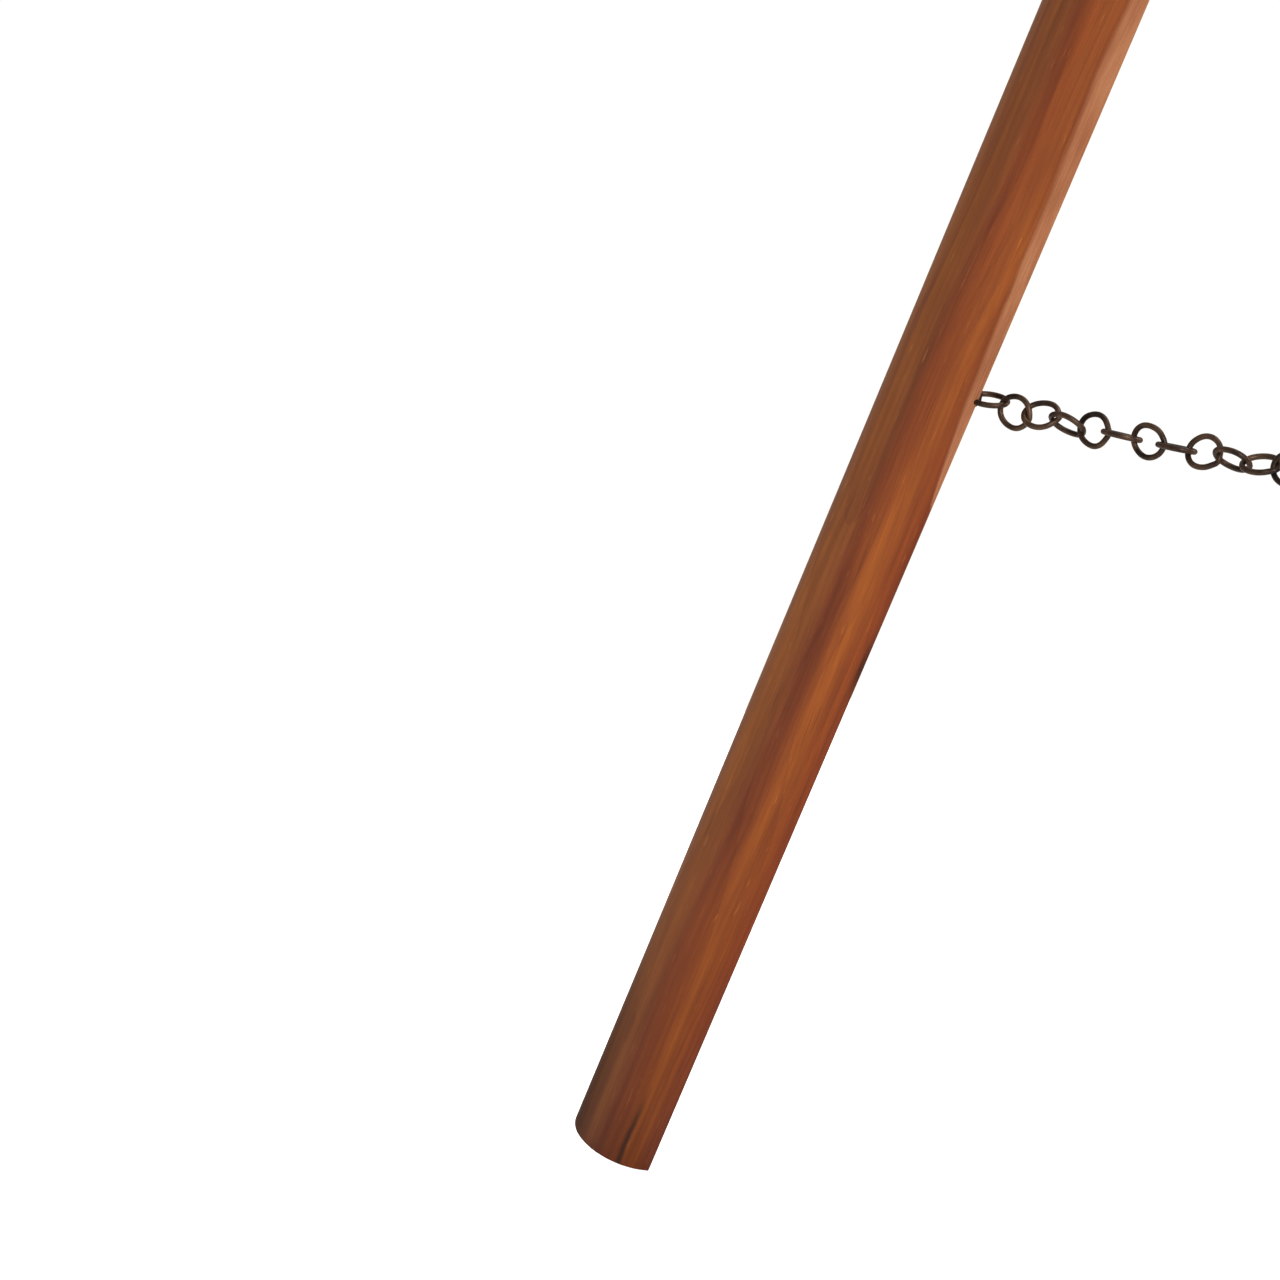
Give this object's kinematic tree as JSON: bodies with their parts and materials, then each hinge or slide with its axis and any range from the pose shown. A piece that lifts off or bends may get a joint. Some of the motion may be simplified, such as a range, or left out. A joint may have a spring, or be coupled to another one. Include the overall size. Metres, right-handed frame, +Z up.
{
  "type": "porch swing",
  "caption": "Porch swing bench hung by ring chains from a folding A-frame stand of stained half-round log legs.",
  "frame": {"origin": "on the floor, midway between the four feet", "axes": "+X along the top beam to the sitter's left, +Y to the back, +Z up"},
  "size_m": [2.136, 1.9732, 1.9632],
  "materials": {
    "log_wood": "satin varnished, red-brown stain",
    "bench_wood": "satin varnished, red-brown stain",
    "chain_bronze": "dark antique bronze",
    "bolt_steel": "dark oxidised"
  },
  "bodies": {
    "stand": {"brace_left": "log_wood", "brace_right": "log_wood", "front_leg_eye_left": "chain_bronze", "front_leg_eye_right": "chain_bronze", "front_leg_left": "log_wood", "front_leg_right": "log_wood", "hanger_eye_left": "bolt_steel", "hanger_eye_right": "bolt_steel", "hanger_nut_left": "bolt_steel", "hanger_nut_right": "bolt_steel", "pivot_bolt_left": "bolt_steel", "pivot_bolt_right": "bolt_steel", "pivot_washer_left": "bolt_steel", "pivot_washer_right": "bolt_steel", "top_beam": "log_wood"},
    "back_leg_left": {"back_leg_left": "log_wood", "back_leg_eye_left": "chain_bronze"},
    "back_chain_left": {"back_spreader_chain_left": "chain_bronze"},
    "front_chain_left": {"front_spreader_chain_left": "chain_bronze"},
    "back_leg_right": {"back_leg_right": "log_wood", "back_leg_eye_right": "chain_bronze"},
    "back_chain_right": {"back_spreader_chain_right": "chain_bronze"},
    "front_chain_right": {"front_spreader_chain_right": "chain_bronze"},
    "hanging_chains": {"upper_chain_left": "chain_bronze", "upper_chain_right": "chain_bronze"},
    "bench": {"arm_post_left": "bench_wood", "arm_post_right": "bench_wood", "armrest_left": "bench_wood", "armrest_right": "bench_wood", "back_post_left": "bench_wood", "back_post_right": "bench_wood", "back_slat_1": "bench_wood", "back_slat_2": "bench_wood", "back_slat_3": "bench_wood", "back_slat_4": "bench_wood", "front_chain_left": "chain_bronze", "front_chain_right": "chain_bronze", "front_rail": "bench_wood", "front_seat_eye_left": "chain_bronze", "front_seat_eye_right": "chain_bronze", "joining_ring_left": "chain_bronze", "joining_ring_right": "chain_bronze", "middle_bearer": "bench_wood", "rear_chain_left": "chain_bronze", "rear_chain_right": "chain_bronze", "rear_rail": "bench_wood", "rear_seat_eye_left": "chain_bronze", "rear_seat_eye_right": "chain_bronze", "seat_side_left": "bench_wood", "seat_side_right": "bench_wood", "seat_slat_1": "bench_wood", "seat_slat_2": "bench_wood", "seat_slat_3": "bench_wood", "seat_slat_4": "bench_wood", "seat_slat_5": "bench_wood"}
  },
  "joints": [
    {"name": "fold_left", "type": "hinge", "parent": "stand", "child": "back_leg_left", "pos_m": [-1.02, 0, 1.87483], "axis": [1, 0, 0], "range_deg": [-48, 0.3]},
    {"name": "back_chain_hang_left", "type": "hinge", "parent": "back_leg_left", "child": "back_chain_left", "pos_m": [-1.009, 0.58565, 0.72543], "axis": [1, 0, 0], "range_deg": [-1, 130.1]},
    {"name": "front_chain_hang_left", "type": "hinge", "parent": "stand", "child": "front_chain_left", "pos_m": [-0.9995, -0.54305, 0.70373], "axis": [1, 0, 0], "range_deg": [-84.3, 0.7]},
    {"name": "fold_right", "type": "hinge", "parent": "stand", "child": "back_leg_right", "pos_m": [1.02, 0, 1.87483], "axis": [1, 0, 0], "range_deg": [-48, 0.3]},
    {"name": "back_chain_hang_right", "type": "hinge", "parent": "back_leg_right", "child": "back_chain_right", "pos_m": [1.009, 0.58565, 0.72543], "axis": [1, 0, 0], "range_deg": [-1, 130.1]},
    {"name": "front_chain_hang_right", "type": "hinge", "parent": "stand", "child": "front_chain_right", "pos_m": [0.9995, -0.54305, 0.70373], "axis": [1, 0, 0], "range_deg": [-84.3, 0.7]},
    {"name": "swing", "type": "hinge", "parent": "stand", "child": "hanging_chains", "pos_m": [0, 0, 1.79683], "axis": [1, 0, 0], "range_deg": [-30, 30]},
    {"name": "seat_rock", "type": "hinge", "parent": "hanging_chains", "child": "bench", "pos_m": [0, 0, 1.18], "axis": [1, 0, 0], "range_deg": [-12, 12]}
  ],
  "couplings": [
    {"joint": "back_chain_hang_left", "follows": "fold_left", "ratio": -2.707},
    {"joint": "front_chain_hang_left", "follows": "fold_left", "ratio": 1.752},
    {"joint": "back_chain_hang_right", "follows": "fold_right", "ratio": -2.707},
    {"joint": "front_chain_hang_right", "follows": "fold_right", "ratio": 1.752}
  ]
}
